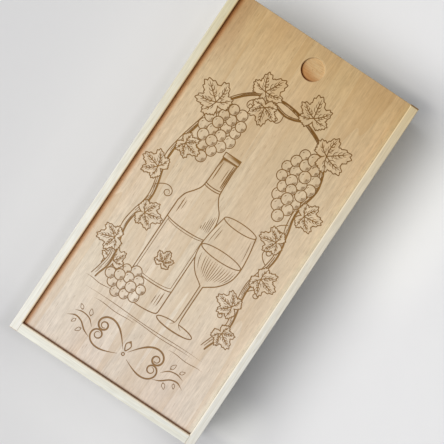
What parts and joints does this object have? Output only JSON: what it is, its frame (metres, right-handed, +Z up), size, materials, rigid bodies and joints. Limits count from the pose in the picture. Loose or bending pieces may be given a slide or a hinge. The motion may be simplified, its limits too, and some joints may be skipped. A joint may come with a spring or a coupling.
{
  "type": "sliding-lid wine box",
  "caption": "Flat wooden box for wine bottles lying side by side, with a lid sliding in grooves, a round thumb recess and a lift-out divider with neck seats.",
  "frame": {"origin": "middle of the footprint, on the surface that the box stands on", "axes": "+Z up, +Y from the foot towards the head, the end over which the lid slides out, +X across the box to the right of +Y"},
  "size_m": [0.19, 0.353, 0.1],
  "materials": {
    "side_pine": "bare planed pine, pale cream, lightly sanded",
    "end_pine": "bare planed pine, pale cream",
    "base_plywood": "bare three-layer plywood",
    "lid_plywood": "sanded three-layer plywood, engraved",
    "insert_plywood": "bare three-layer plywood",
    "brad_steel": "bright brad heads, slightly dulled"
  },
  "bodies": {
    "box": {"left_side": "side_pine", "right_side": "side_pine", "foot_board": "end_pine", "head_board": "end_pine", "base_panel": "base_plywood", "divider": "insert_plywood", "neck_rest": "insert_plywood", "foot_guide_left": "end_pine", "foot_guide_right": "end_pine", "head_guide_left": "end_pine", "head_guide_right": "end_pine", "foot_brads_left": "brad_steel", "foot_brads_right": "brad_steel", "head_brads_left": "brad_steel", "head_brads_right": "brad_steel"},
    "lid": {"lid": "lid_plywood"}
  },
  "joints": [
    {"name": "lid_slide", "type": "slide", "parent": "box", "child": "lid", "axis": [0, 1, 0], "range_m": [0, 0.35]}
  ]
}
